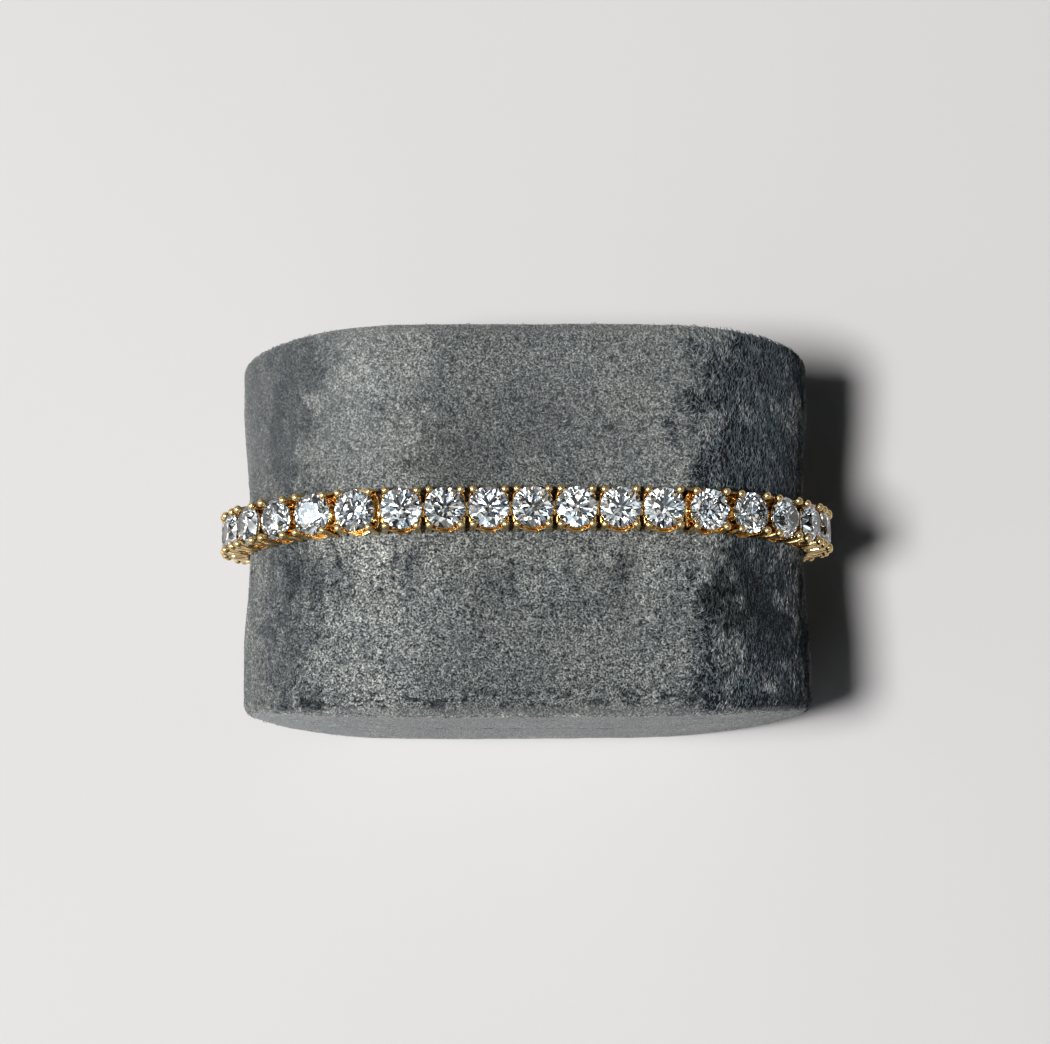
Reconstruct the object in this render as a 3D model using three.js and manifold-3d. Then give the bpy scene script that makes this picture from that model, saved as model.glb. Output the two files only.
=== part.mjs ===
// A four-prong tennis bracelet of round stones, laid round a suede display cushion.
// Millimetres, +Z up. The cushion stands on z = 0 with the origin under its middle.
// X runs along the cushion's wide face, and Y along the axis that the bracelet goes round.

import * as THREE from "three";
import { ConvexGeometry } from "three/addons/geometries/ConvexGeometry.js";
import { mergeVertices } from "three/addons/utils/BufferGeometryUtils.js";
import Module from "manifold-3d";

// Stone, a round brilliant
const STONE_DIAMETER = 5;
const TABLE_DIAMETER = 2.85;
const CROWN_HEIGHT = 0.8;
const GIRDLE_HEIGHT = 0.15;
const PAVILION_DEPTH = 2.15;
const STONE_FACETS = 8;

// Basket setting, one to a link
const LINK_GAP = 0.3;
const CULET_CLEARANCE = 0.3;
const HINGE_HEIGHT = 0.9;
const BASKET_GAP = 0.2;
const BASKET_FLARE = 0.22;
const BASKET_WALL = 0.6;
const BASKET_HEIGHT = 1;
const BASKET_SQUARENESS = 2.6;
const PRONG_ANGLE = (48 * Math.PI) / 180;
const PRONG_RADIUS = 0.4;
const PRONG_SIDES = 5;
const PRONG_LEAN = 0.16;
const BEAD_RADIUS = 0.42;
const BEAD_OVERHANG = 0.06;
const BEAD_RISE = 0.15;
const TONGUE_WIDTH = 1.1;
const TONGUE_THICKNESS = 0.5;
const TONGUE_REACH = 1.1;

// Chain, a closed loop of straight links
const FLAT_LINKS = 7;
const TURNING_LINKS = 11;
const CLASP_LINKS = 3;
const CHAIN_SAG = 0.9;

// Clasp, a plain box with a pin in each end
const CLASP_WIDTH = 4.8;
const CLASP_HEIGHT = 3;
const CLASP_BEVEL = 0.4;
const CLASP_CLEARANCE = 0.15;
const PIN_RADIUS = 0.2;
const EYE_WALL = 0.3;
const EYE_SIDES = 10;

// Display cushion
const CUSHION_LENGTH = 48.4;
const CUSHION_CLEARANCE = 0.15;
const CUSHION_SWELL = 0.8;
const FLOOR_CLEARANCE = 0.1;
const END_BOW = 1.9;
const END_SQUARENESS = 4;
const RIM_RADIUS = 1.2;
const DENT_REACH = 13;
const GROOVE_REACH = 6.5;
const BRACELET_SHIFT = 1.2;
const CUSHION_TURN_SIDES = 12;
const FACE_RINGS = [0.7, 0.35];

// Heights in a link's own frame, where z = 0 is the hinge line and +z faces out of the loop
const pitch = STONE_DIAMETER + LINK_GAP;
const girdleRadius = STONE_DIAMETER / 2;
const baseHeight = -HINGE_HEIGHT;
const culetHeight = baseHeight + CULET_CLEARANCE;
const girdleBottom = culetHeight + PAVILION_DEPTH;
const girdleTop = girdleBottom + GIRDLE_HEIGHT;
const tableHeight = girdleTop + CROWN_HEIGHT;
const beadTop = tableHeight + BEAD_RISE;

// The loop is a stadium: two flat runs joined by two half turns, each made of equal steps
const turnStep = Math.PI / (TURNING_LINKS + 1);
const hingeRadius = pitch / 2 / Math.tan(turnStep / 2);
const halfFlat = ((FLAT_LINKS - 1) * pitch) / 2;
const loopHeight = FLOOR_CLEARANCE + beadTop + hingeRadius;
const linkCount = 2 * (FLAT_LINKS + TURNING_LINKS);
const halfWidth = halfFlat + hingeRadius;

// The cushion's stretch under the bracelet, and where its ends start to bow
const bandHalf = girdleRadius + LINK_GAP;
const rimEnd = CUSHION_LENGTH / 2 - END_BOW;

const gold = new THREE.MeshStandardMaterial({ color: 0xd9a441, roughness: 0.22, metalness: 1 });
const clear = new THREE.MeshStandardMaterial({
  color: 0xe8f1f8,
  roughness: 0.05,
  metalness: 0,
  transparent: true,
  opacity: 0.7,
});
const suede = new THREE.MeshStandardMaterial({ color: 0x5d6364, roughness: 0.95, metalness: 0 });

const wasm = await Module();
wasm.setup();

// A closed three.js geometry as a solid that can be joined and cut
function solidOf(geometry) {
  const shape = geometry.clone();
  shape.deleteAttribute("normal");
  shape.deleteAttribute("uv");
  const merged = mergeVertices(shape, 1e-4);
  return new wasm.Manifold(
    new wasm.Mesh({
      numProp: 3,
      vertProperties: merged.attributes.position.array,
      triVerts: new Uint32Array(merged.index.array),
    }),
  );
}

// A solid as a three.js geometry
function geometryOf(solid) {
  const mesh = solid.getMesh();
  const geometry = new THREE.BufferGeometry();
  geometry.setAttribute("position", new THREE.BufferAttribute(mesh.vertProperties, 3));
  geometry.setIndex(new THREE.BufferAttribute(mesh.triVerts, 1));
  geometry.computeVertexNormals();
  return geometry;
}

function joined(solids) {
  return solids.reduce((whole, part) => whole.add(part));
}

function namedMesh(name, geometry, material) {
  const mesh = new THREE.Mesh(geometry, material);
  mesh.name = name;
  return mesh;
}

// Turns a profile of [radius, height] pairs about Z
function turned(profile, sides) {
  const points = profile.map(([radius, height]) => new THREE.Vector2(radius, height));
  return new THREE.LatheGeometry(points, sides).rotateX(Math.PI / 2);
}

function ringOfPoints(count, radius, height) {
  return Array.from({ length: count }, (_, i) => {
    const angle = (2 * Math.PI * i) / count;
    return new THREE.Vector3(radius * Math.cos(angle), radius * Math.sin(angle), height);
  });
}

// A brilliant: the table, a crown of stars and kites, a girdle and a pointed pavilion
function stoneGeometry() {
  return new ConvexGeometry([
    ...ringOfPoints(STONE_FACETS, TABLE_DIAMETER / 2, tableHeight),
    ...ringOfPoints(2 * STONE_FACETS, girdleRadius, girdleTop),
    ...ringOfPoints(2 * STONE_FACETS, girdleRadius, girdleBottom),
    new THREE.Vector3(0, 0, culetHeight),
  ]);
}

// The basket's outline, between a circle and a square, with a corner behind each prong
function basketOutline(inset) {
  const along = (pitch - BASKET_GAP) / 2 - inset;
  const across = girdleRadius + BASKET_FLARE - inset;
  const between = (PRONG_ANGLE + Math.PI / 2) / 2;
  const halfTurn = [0, PRONG_ANGLE, between, Math.PI / 2, Math.PI - between, Math.PI - PRONG_ANGLE];
  const angles = [...halfTurn, ...halfTurn.map((angle) => angle + Math.PI)];
  return angles.map((angle) => {
    const share =
      Math.abs(Math.cos(angle) / along) ** BASKET_SQUARENESS +
      Math.abs(Math.sin(angle) / across) ** BASKET_SQUARENESS;
    const radius = share ** (-1 / BASKET_SQUARENESS);
    return new THREE.Vector2(radius * Math.cos(angle), radius * Math.sin(angle));
  });
}

function basketRing() {
  const section = new THREE.Shape(basketOutline(0));
  section.holes.push(new THREE.Path(basketOutline(BASKET_WALL)));
  const ring = new THREE.ExtrudeGeometry(section, { depth: BASKET_HEIGHT, bevelEnabled: false });
  return ring.translate(0, 0, baseHeight);
}

// A post that leans in to a round bead, with a flat side towards the stone so that it clears the girdle
function prong(across, along) {
  const beadDistance = girdleRadius + BEAD_RADIUS - BEAD_OVERHANG;
  const length = beadTop - baseHeight;
  const shape = turned(
    [
      [0, 0],
      [PRONG_RADIUS, 0],
      [BEAD_RADIUS, length - BEAD_RADIUS],
      [BEAD_RADIUS / 2, length],
      [0, length],
    ],
    PRONG_SIDES,
  );
  shape.rotateY(-Math.atan2(PRONG_LEAN, length));
  shape.translate(beadDistance + PRONG_LEAN, 0, baseHeight);
  return shape.rotateZ(Math.atan2(across * Math.sin(PRONG_ANGLE), along * Math.cos(PRONG_ANGLE)));
}

function tongue(direction) {
  const start = (pitch - BASKET_GAP) / 2 - BASKET_WALL;
  const end = pitch / 2 + TONGUE_REACH;
  const shape = new THREE.BoxGeometry(end - start, TONGUE_WIDTH, TONGUE_THICKNESS);
  return shape.translate((direction * (start + end)) / 2, 0, baseHeight + BASKET_HEIGHT / 2);
}

// The round end of a tongue that a clasp pin goes through
function tongueEye(direction) {
  const hole = PIN_RADIUS + CLASP_CLEARANCE;
  const profile = [
    [hole, -TONGUE_WIDTH / 2],
    [hole + EYE_WALL, -TONGUE_WIDTH / 2],
    [hole + EYE_WALL, TONGUE_WIDTH / 2],
    [hole, TONGUE_WIDTH / 2],
    [hole, -TONGUE_WIDTH / 2],
  ];
  const shape = turned(profile, EYE_SIDES).rotateX(Math.PI / 2);
  return shape.translate(direction * eyeDistance(), 0, baseHeight + BASKET_HEIGHT / 2);
}

function eyeDistance() {
  return pitch / 2 + TONGUE_REACH + PIN_RADIUS + CLASP_CLEARANCE;
}

// How far the chain hangs towards the front at x: not at its middle, and most at its sides
function sagAt(x) {
  return CHAIN_SAG * (x / halfWidth) ** 2;
}

// Where the link of that place in the loop sits: its middle on the hinge line, and its outward turn.
// Place 0 is the first link of the flat run on top, and the count goes on over +X.
function linkPlace(place) {
  const half = FLAT_LINKS + TURNING_LINKS;
  const onTop = place < half;
  const step = place % half;
  const side = onTop ? 1 : -1;
  const turn = Math.max(0, step - FLAT_LINKS + 1);
  const along = Math.min(step, FLAT_LINKS - 1) * pitch - halfFlat;
  const angle = turn * turnStep + (onTop ? 0 : Math.PI);
  const x = side * along + hingeRadius * Math.sin(angle);
  const z = loopHeight + hingeRadius * Math.cos(angle);
  return { x, y: -sagAt(x), z, angle };
}

function placed(object, place) {
  const at = linkPlace(place);
  const holder = new THREE.Group();
  holder.position.set(at.x, at.y, at.z);
  holder.rotation.y = at.angle;
  holder.add(object);
  return holder;
}

function placedSolid(solid, place) {
  const at = linkPlace(place);
  const matrix = new THREE.Matrix4().makeRotationY(at.angle).setPosition(at.x, at.y, at.z);
  return solid.transform(matrix.elements);
}

// The clasp takes the middle places of the run under the cushion
const claspMiddle = FLAT_LINKS + TURNING_LINKS + (FLAT_LINKS - 1) / 2;
const firstLink = claspMiddle + (CLASP_LINKS + 1) / 2;
const stoneCount = linkCount - CLASP_LINKS;
const linkPlaces = Array.from({ length: stoneCount }, (_, i) => (firstLink + i) % linkCount);

// Every link has a tongue into the next one, and the two end links have an eye for the clasp
function settingChain() {
  const prongs = [-1, 1].flatMap((across) => [-1, 1].map((along) => prong(across, along)));
  const linked = joined([basketRing(), ...prongs, tongue(1)].map(solidOf));
  const first = joined([tongue(-1), tongueEye(-1)].map(solidOf));
  const last = solidOf(tongueEye(1));
  return joined([
    ...linkPlaces.map((place) => placedSolid(linked, place)),
    placedSolid(first, linkPlaces[0]),
    placedSolid(last, linkPlaces.at(-1)),
  ]);
}

// A bevelled box with a slot and a pin in each end, in the frame of the middle link that it replaces
function claspSolid() {
  const half = ((CLASP_LINKS + 1) / 2) * pitch - girdleRadius - LINK_GAP;
  const wide = CLASP_WIDTH / 2;
  const section = new THREE.Shape([
    new THREE.Vector2(-wide, 0),
    new THREE.Vector2(wide, 0),
    new THREE.Vector2(wide, CLASP_HEIGHT - CLASP_BEVEL),
    new THREE.Vector2(wide - CLASP_BEVEL, CLASP_HEIGHT),
    new THREE.Vector2(CLASP_BEVEL - wide, CLASP_HEIGHT),
    new THREE.Vector2(-wide, CLASP_HEIGHT - CLASP_BEVEL),
  ]);
  const bar = new THREE.ExtrudeGeometry(section, { depth: 2 * half, bevelEnabled: false });
  bar.translate(0, 0, -half).rotateX(Math.PI / 2).rotateZ(Math.PI / 2).translate(0, 0, baseHeight);
  let solid = solidOf(bar);
  const pinPlace = ((CLASP_LINKS + 1) / 2) * pitch - eyeDistance();
  const eyeRadius = PIN_RADIUS + CLASP_CLEARANCE + EYE_WALL;
  const slotEnd = pinPlace - eyeRadius - CLASP_CLEARANCE;
  const slotTop = baseHeight + BASKET_HEIGHT / 2 + eyeRadius + CLASP_CLEARANCE;
  for (const direction of [-1, 1]) {
    const slotLength = half + LINK_GAP - slotEnd;
    const slotHeight = 2 * (slotTop - baseHeight);
    const slot = new THREE.BoxGeometry(slotLength, TONGUE_WIDTH + 2 * CLASP_CLEARANCE, slotHeight);
    slot.translate(direction * (slotEnd + slotLength / 2), 0, baseHeight);
    const pin = new THREE.CylinderGeometry(PIN_RADIUS, PIN_RADIUS, CLASP_WIDTH - CLASP_BEVEL, EYE_SIDES);
    pin.translate(direction * pinPlace, 0, baseHeight + BASKET_HEIGHT / 2);
    solid = solid.subtract(solidOf(slot)).add(solidOf(pin));
  }
  return solid;
}

// How far the bracelet presses the cushion in at y: 1 under the band, 0 where the cushion is free
function pressed(y, reach) {
  const away = (Math.abs(y - BRACELET_SHIFT) - bandHalf) / reach;
  return 1 - THREE.MathUtils.smoothstep(away, 0, 1);
}

// The cushion's section at y: a stadium with flat faces above and below and round sides
function cushionSection(y, inset) {
  const held = hingeRadius - HINGE_HEIGHT - CUSHION_CLEARANCE;
  const swell = CUSHION_SWELL * (1 - pressed(y, DENT_REACH));
  const top = loopHeight + held + swell;
  const bottom = (loopHeight - held) * pressed(y, GROOVE_REACH);
  const across = held + swell - inset;
  const up = (top - bottom) / 2 - inset;
  const half = [];
  for (let i = 0; i <= CUSHION_TURN_SIDES; i++) {
    const angle = (Math.PI * i) / CUSHION_TURN_SIDES;
    half.push([halfFlat + across * Math.sin(angle), (top + bottom) / 2 + up * Math.cos(angle)]);
  }
  const mirrored = half.map(([x, z]) => [-x, z]).reverse();
  return [...half, ...mirrored].map(([x, z]) => new THREE.Vector3(x, y, z));
}

// Rings from the back end to the front end: a rounded rim at each end, and the dent between them
function cushionRings() {
  const rimSteps = [
    { back: 0, inset: 1 },
    { back: 0.3, inset: 0.3 },
    { back: 1, inset: 0 },
  ];
  const dentSteps = [1, 0.75, 0.5, 0.25, 0];
  const rimRing = (direction, { back, inset }) =>
    cushionSection(direction * (rimEnd - back * RIM_RADIUS), inset * RIM_RADIUS);
  const dentRing = (direction, share) =>
    cushionSection(BRACELET_SHIFT + direction * (bandHalf + share * DENT_REACH), 0);
  const rim = (direction) => rimSteps.map((row) => rimRing(direction, row));
  const dent = (direction) => dentSteps.map((share) => dentRing(direction, share));
  return [...rim(1), ...dent(1), ...dent(-1).reverse(), ...rim(-1).reverse()];
}

// The end face inside its rim: the end ring drawn in towards the middle of the face
function faceRings(ring) {
  const middle = faceMiddle(ring);
  return FACE_RINGS.map((share) => ring.map((point) => middle.clone().lerp(point, share)));
}

function faceMiddle(ring) {
  const sum = ring.reduce((total, point) => total.add(point), new THREE.Vector3());
  return sum.divideScalar(ring.length);
}

// The ends bow outwards in plan, and towards the bracelet the cushion follows the chain's sag instead
function bowed(point) {
  const away = point.y - BRACELET_SHIFT;
  const fade = THREE.MathUtils.smoothstep(Math.abs(away), bandHalf, rimEnd - RIM_RADIUS);
  const bow = END_BOW * (1 - Math.abs(point.x / halfWidth) ** END_SQUARENESS);
  const shift = Math.sign(away) * bow * fade - sagAt(point.x) * (1 - fade);
  return new THREE.Vector3(point.x, point.y + shift, point.z);
}

// A closed skin over a stack of rings, with a point at each end
function skinned(rings, firstPoint, lastPoint) {
  const columns = rings[0].length;
  const points = [firstPoint, ...rings.flat(), lastPoint];
  const at = (row, column) => 1 + row * columns + (column % columns);
  const faces = [];
  for (let column = 0; column < columns; column++) {
    faces.push(0, at(0, column), at(0, column + 1));
    for (let row = 0; row + 1 < rings.length; row++) {
      faces.push(at(row, column), at(row + 1, column), at(row + 1, column + 1));
      faces.push(at(row, column), at(row + 1, column + 1), at(row, column + 1));
    }
    const last = rings.length - 1;
    faces.push(points.length - 1, at(last, column + 1), at(last, column));
  }
  const geometry = new THREE.BufferGeometry().setFromPoints(points);
  geometry.setIndex(faces);
  geometry.computeVertexNormals();
  return geometry;
}

function cushionGeometry() {
  const rings = cushionRings();
  const back = faceRings(rings[0]).reverse();
  const front = faceRings(rings.at(-1));
  const bowedRings = [...back, ...rings, ...front].map((ring) => ring.map(bowed));
  return skinned(bowedRings, bowed(faceMiddle(rings[0])), bowed(faceMiddle(rings.at(-1))));
}

const bracelet = new THREE.Group();
bracelet.position.y = BRACELET_SHIFT;
bracelet.add(namedMesh("setting_chain", geometryOf(settingChain()), gold));
bracelet.add(placed(namedMesh("clasp", geometryOf(claspSolid()), gold), claspMiddle));
const stone = stoneGeometry();
linkPlaces.forEach((place, i) => {
  const name = `stone_${String(i + 1).padStart(2, "0")}`;
  bracelet.add(placed(namedMesh(name, stone, clear), place));
});

const displayed = new THREE.Group();
displayed.add(namedMesh("display_cushion", cushionGeometry(), suede));
displayed.add(bracelet);

export default displayed;
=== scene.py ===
"""Tennis bracelet of round brilliants, laid round a grey suede display cushion.

The stones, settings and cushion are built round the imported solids. Lengths in the settings and
cushion are millimetres until place_mesh() turns them into metres.
"""

import math

import bpy
import numpy as np
from mathutils import Matrix, Vector


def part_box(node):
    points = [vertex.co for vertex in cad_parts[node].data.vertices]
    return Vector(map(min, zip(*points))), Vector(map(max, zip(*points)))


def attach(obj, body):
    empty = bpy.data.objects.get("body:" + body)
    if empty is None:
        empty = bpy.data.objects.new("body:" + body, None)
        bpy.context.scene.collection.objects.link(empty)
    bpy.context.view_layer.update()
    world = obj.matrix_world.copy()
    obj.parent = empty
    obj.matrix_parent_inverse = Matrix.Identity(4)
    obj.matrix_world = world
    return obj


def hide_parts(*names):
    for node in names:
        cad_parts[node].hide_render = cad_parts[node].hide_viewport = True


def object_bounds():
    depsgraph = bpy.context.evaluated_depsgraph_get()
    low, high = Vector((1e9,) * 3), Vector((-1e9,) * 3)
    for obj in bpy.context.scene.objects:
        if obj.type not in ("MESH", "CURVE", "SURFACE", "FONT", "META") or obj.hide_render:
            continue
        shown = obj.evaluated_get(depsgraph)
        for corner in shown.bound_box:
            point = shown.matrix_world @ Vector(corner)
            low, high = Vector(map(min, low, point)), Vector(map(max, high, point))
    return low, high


MM = 0.001
TINY = 1e-9
IMAGE_WIDTH = 1050
SENSOR_MM = 36.0
WHITE = (1.0, 1.0, 1.0, 1.0)
BLACK = (0.0, 0.0, 0.0, 1.0)
X_AXIS = np.array([1.0, 0.0, 0.0])
Z_AXIS = np.array([0.0, 0.0, 1.0])

# Camera, as found from the row of stones and the cushion's outline
CAMERA_DISTANCE = 420 * MM
CAMERA_ELEVATION = math.radians(82.63)
CAMERA_AZIMUTH = math.radians(-15.31)
CAMERA_ROLL = math.radians(-14.97)
CAMERA_FOCAL_PX = 3470
CAMERA_AIM_Y = -0.48 * MM
CAMERA_AIM_BELOW_TOP = 2.65 * MM
CAMERA_SIDESTEP = -0.92 * MM
CAMERA_CLIP_START = 0.01

# Brilliant cut, as shares of the stone's diameter
TABLE_SHARE = 0.57
CROWN_SHARE = 0.16
GIRDLE_SHARE = 0.03
PAVILION_SHARE = 0.43
STAR_RADIUS_SHARE = 0.381
LOWER_HALF_SHARE = 0.116
MAIN_FACETS = 8
SPIN_SEED = 7

# Corners of a packed stone are the same point when this many decimals agree, in metres
CORNER_DECIMALS = 7

# Squareness of an outline: 2 is round, and more is nearer to a rectangle
ROUND = 2.0
FRAME_SQUARENESS = 5

# Setting, in a link's own frame: z = 0 is the hinge line, +z out of the loop, +x along the chain
CULET_HEIGHT = -0.6
BASE_HEIGHT = -0.9
BEAD_TOP = 2.65
BEAD_RADIUS = 0.51
BEAD_ALONG = 1.92
BEAD_ACROSS = 2.13
BEAD_STEPS = 9
BEAD_FIRST_DEGREES = -52
BEAD_STEP_DEGREES = 17
FOOT_ALONG = 2.02
FOOT_ACROSS = 2.4
PRONG_SIDES = 20
RING_SIDES = 60
FRAME_BAND = dict(half_x=2.5, half_y=2.52, wall=0.32, low=BASE_HEIGHT, high=-0.5, bevel=0.07)
GUSSET_BAR = dict(start=2.2, end=2.95, width=0.4, low=-0.85, height=1.0, bevel=0.1)

# The post below a bead, from its foot up: height, radius, and squareness of the section
POST_ROWS = (
    (BASE_HEIGHT, 0.34, 3.5),
    (-0.82, 0.42, 3.5),
    (-0.6, 0.43, 3.5),
    (0.8, 0.43, 3.2),
    (1.2, 0.39, 2.6),
    (1.5, 0.33, ROUND),
    (1.7, 0.33, ROUND),
)

# The cup under a stone, up its outside and down its inside: height, half size along and across
CUP_ROWS = (
    (BASE_HEIGHT, 2.4, 2.68),
    (-0.82, 2.5, 2.82),
    (-0.7, 2.53, 2.86),
    (-0.5, 2.53, 2.86),
    (-0.45, 2.51, 2.83),
    (-0.5, 2.5, 2.8),
    (-0.7, 2.48, 2.76),
    (-0.75, 2.44, 2.68),
    (-0.66, 2.4, 2.56),
    (-0.15, 2.38, 2.45),
    (0.8, 2.42, 2.42),
    (1.3, 2.5, 2.42),
    (1.42, 2.53, 2.44),
    (1.44, 2.46, 2.36),
    (1.1, 2.3, 2.1),
    (0.3, 2.1, 1.9),
    (BASE_HEIGHT, 2.0, 2.05),
)

# Chain joints
PITCH = 5.3
JOINT_HEIGHT = -0.4
BARREL_RADIUS = 0.46
BARREL_LENGTH = 1.8
BARREL_HEIGHT = -0.05
BARREL_SIDES = 20
TONGUE_START = 1.95
TONGUE_END = 3.75
TONGUE_WIDTH = 1.1
TONGUE_THICKNESS = 0.5
TONGUE_BEVEL = 0.08
EYE_DISTANCE = 4.1
EYE_RADIUS = 0.65
EYE_WALL = 0.3
EYE_BEVEL = 0.06

# The rounded end of a barrel: distance from the end, and share of the radius
BARREL_END_ROWS = (
    (0.0, 0.7),
    (0.05, 0.9),
    (0.14, 1.0),
)

# Cushion
CUSHION_COLUMNS = 400
CUSHION_ROWS = 96
FACE_RINGS = 22
RIM_STEPS = 7
RIM_RADIUS = 1.3
HELD_CLEARANCE = 0.15
FLAT_HALF = 15.9
SIDE_INSET = 0.5
END_BOW = 1.9
END_SQUARENESS = 4
BAND_HALF = 2.8
PINCH_DEPTH = 0.8
DENT_REACH = 13.0
GROOVE_REACH = 6.5
CHAIN_SAG = 0.9

# Relief of the cloth, pressed inwards: seed, size of the bumps, depth, and scale along y, where less
# than 1 makes them longer
RELIEF_LAYERS = (
    (3, 5.0, 0.10, 0.6),
    (5, 1.6, 0.05, 0.6),
    (8, 0.8, 0.05, 1.0),
)

# Where the nap's fibres stand
NAP_SEED = 4
FIBRES_PER_PIECE = 19000
HIDDEN_SHARE = 0.3
HIDDEN_NORMAL = -0.5
HIDDEN_FADE = 0.4
NAP_THINS = 0.55
NAP_ENDS = 0.97
UNDERSIDE_HEIGHT = 0.9
CHAIN_CLEARANCE = 2.5

# A fibre's shape. Ranges are evenly drawn, and spreads are those of a normal draw.
FIBRE_RADIUS = 0.055
FIBRE_ROOT_DEPTH = 0.05
FIBRE_LENGTH_RANGE = (0.28, 0.62)
FIBRE_LIFT_RANGE = (0.04, 0.14)
FIBRE_TIP_RANGE = (-0.03, 0.2)
FIBRE_BEND_SPREAD = 0.2

# Fibres are laid out from y, or from x where the skin faces along y by more than this
END_FACING = 0.8

# Combed fibres lie along the cushion on its right side, longer and flatter than the others
STRAND_START = 14.0
STRAND_FULL = 26.0
STRAND_SPREAD = 0.3
STRAND_LENGTHENS = 0.9
STRAND_FLATTENS = 0.5

# A fibre's corners are three at its root, three at its middle and one at its tip
FIBRE_CORNER_DEGREES = (90, 210, 330)
FIBRE_FACES = (
    (0, 1, 4, 3),
    (1, 2, 5, 4),
    (2, 0, 3, 5),
    (3, 4, 6),
    (4, 5, 6),
    (5, 3, 6),
    (2, 1, 0),
)

# Noises of the materials and the world: scale, detail, scale along y, and roughness
NOISES = {
    "gold_cloud": (900.0, 3.0, 1.0, 0.5),
    "gold_scratches": (5200.0, 2.0, 1.0, 0.5),
    "stone_cloud": (500.0, 1.0, 1.0, 0.5),
    "floor_cloud": (9.0, 2.0, 1.0, 0.5),
    "fibre_grain": (2600.0, 1.0, 1.0, 0.5),
    "ground_grain": (4200.0, 1.0, 1.0, 0.5),
    "wander": (260.0, 4.0, 0.7, 0.65),
    "patches": (150.0, 4.0, 0.8, 0.6),
    "clumps": (1500.0, 3.0, 0.8, 0.6),
    # painted shade in the creases along the seam
    "crease_shade": (600.0, 3.0, 1.8, 0.6),
    # streaks of painted light and shade in front of the chain
    "strokes": (430.0, 2.0, 0.3, 0.5),
    "studio_zones": (2.6, 1.0, 1.0, 0.5),
}

# Tones of gold, stone and floor: place along the noise, and color
GOLD_TONES = ((0.3, (0.6, 0.415, 0.185)), (0.7, (0.8, 0.57, 0.28)))
STONE_TONES = ((0.35, (0.93, 0.97, 1.0)), (0.65, (1.0, 0.995, 0.985)))
FLOOR_TONES = ((0.3, (0.735, 0.72, 0.725)), (0.7, (0.755, 0.74, 0.745)))
GOLD_ROUGHNESS = (0.02, 0.12)
GOLD_SCRATCHES = dict(Strength=0.05, Distance=0.00005)
STONE_FINISH = dict(Roughness=0.0, IOR=2.3, Transmission_Weight=1.0)
FLOOR_FINISH = dict(Roughness=0.6, Specular_IOR_Level=0.2)
FLOOR_HALF = 2.0

# Finish of the cloth, and the grain of its ground
SUEDE_FINISH = dict(
    Roughness=0.95,
    Specular_IOR_Level=0.1,
    Sheen_Weight=0.3,
    Sheen_Roughness=0.4,
    Sheen_Tint=(0.75, 0.8, 0.85, 1.0),
)
GROUND_BUMP = dict(Strength=0.7, Distance=0.0002)

# Painted light and shade across the cushion from left to right, over the nap's own tone: lighter on the left,
# which turns towards the key, darker on the right, which turns away from it, and lighter at the right edge as
# painted sheen: place in mm, and tone of the cloth
NAP_LIGHT_AND_SHADE = (
    (-36.0, (1.12, 1.14, 1.14)),
    (-33.0, (1.3, 1.31, 1.29)),
    (-31.0, (0.82, 0.86, 0.9)),
    (-27.8, (0.88, 0.92, 0.95)),
    (-25.8, (1.6, 1.62, 1.59)),
    (-21.0, (2.05, 2.05, 2.0)),
    (-15.5, (1.95, 1.95, 1.9)),
    (-12.5, (1.4, 1.42, 1.4)),
    (-6.0, (1.2, 1.22, 1.2)),
    (0.0, (1.22, 1.24, 1.22)),
    (12.0, (1.25, 1.27, 1.25)),
    (17.5, (1.38, 1.4, 1.38)),
    (19.0, (1.2, 1.24, 1.24)),
    (22.0, (0.72, 0.78, 0.82)),
    (25.5, (0.33, 0.4, 0.46)),
    (28.5, (0.19, 0.25, 0.31)),
    (31.0, (0.24, 0.3, 0.36)),
    (33.5, (0.42, 0.48, 0.53)),
    (36.0, (0.9, 0.94, 0.97)),
)
NAP_SPAN = 36.0
TONE_SCALE = 2.1

# How far the shading wanders from straight lines, in mm, and how that grows between two places
WANDER = 9.0
WANDER_LIMITS = (0.0, 20.0)
WANDER_GROWTH = (1.0, 2.2)

# Where the combed side starts and is full, and its tones
COMBED = (16.0, 26.0)
COMBED_FIBRE_TONE = 1.6
COMBED_GROUND_TONE = 0.22

# The end faces, by how far the surface faces along the cushion. Their tone is painted light, as thrown up by
# the pale floor
END_NORMALS = (0.4, 1.0)
END_CALM_SHARE = 0.1
END_FACE_LIGHT = (1.24, 1.21, 1.13, 1.0)

# Painted shade in the creases along the seam at the front rim, between an inner and an outer edge
CREASE_SHADE_INNER = (-21.4, -20.4)
CREASE_SHADE_OUTER = (-23.2, -22.6)
CREASE_SHADE_TONES = ((0.5, (0.0, 0.0, 0.0)), (0.6, (0.75, 0.73, 0.71)))

# Streaks of painted light, as thrown by the stones, and of painted shade, in the nap in front of the chain
STONE_LIGHT_FRONT = (-13.0, -6.0)
STONE_LIGHT_BEHIND = (-3.5, -2.0)
STONE_LIGHT_TONES = (
    (0.36, (0.5, 0.52, 0.54)),
    (0.46, (0.95, 0.95, 0.95)),
    (0.56, (1.05, 1.05, 1.05)),
    (0.66, (1.42, 1.41, 1.39)),
)

# Where the nap lies smooth: at the left and right edges, at the rims, and behind the chain
CALM_LEFT = (-32.0, -27.0)
CALM_RIGHT = (31.0, 36.0)
CALM_SHARE = 0.22
RIM_CALM = (22.5, 23.7)
RIM_CALM_SHARE = 0.75
BEHIND_CALM = (1.0, 8.0)
BEHIND_CALM_LEFT = (-25.0, -13.0)
BEHIND_CALM_LEFT_SHARE = 0.42
BEHIND_CALM_SHARE = 0.2
FIBRE_CALM = (0.235, 0.241, 0.239, 1.0)
GROUND_CALM = (0.11, 0.115, 0.117, 1.0)
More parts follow.
